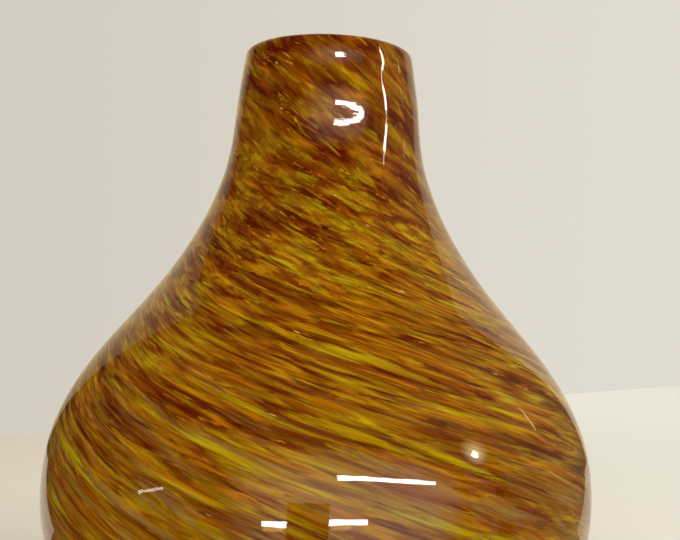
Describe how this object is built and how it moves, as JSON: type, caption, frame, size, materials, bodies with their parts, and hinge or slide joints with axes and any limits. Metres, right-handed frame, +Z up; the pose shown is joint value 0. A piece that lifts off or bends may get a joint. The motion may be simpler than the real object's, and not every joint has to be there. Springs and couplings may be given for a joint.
{
  "type": "art glass vase",
  "caption": "Round-bellied bottle vase in cased blown glass, with a narrow neck, a fire-polished lip and swirling amber, gold, orange and oxblood streaks.",
  "frame": {"origin": "centre of the foot, on the surface the vase stands on", "axes": "+Z up the vase's axis to the mouth; +X and +Y across it, as the round body has no front"},
  "size_m": [0.2238, 0.2238, 0.254],
  "materials": {
    "gather_glass": "clear gather over the amber layer, glossy inside wall",
    "amber_glass": "opaque amber-brown colour layer, mottled",
    "oxblood_glass": "opaque dark red-brown chips drawn into streaks",
    "orange_glass": "opaque orange chips drawn into streaks",
    "gold_glass": "opaque golden amber chips drawn into streaks",
    "lemon_glass": "opaque lemon yellow chips drawn into streaks",
    "clear_glass": "clear fire-polished overlay, very glossy"
  },
  "bodies": {
    "root": {"inner_gather": "gather_glass", "amber_ground": "amber_glass", "oxblood_streaks": "oxblood_glass", "orange_streaks": "orange_glass", "gold_streaks": "gold_glass", "lemon_streaks": "lemon_glass", "clear_casing": "clear_glass"}
  },
  "joints": []
}
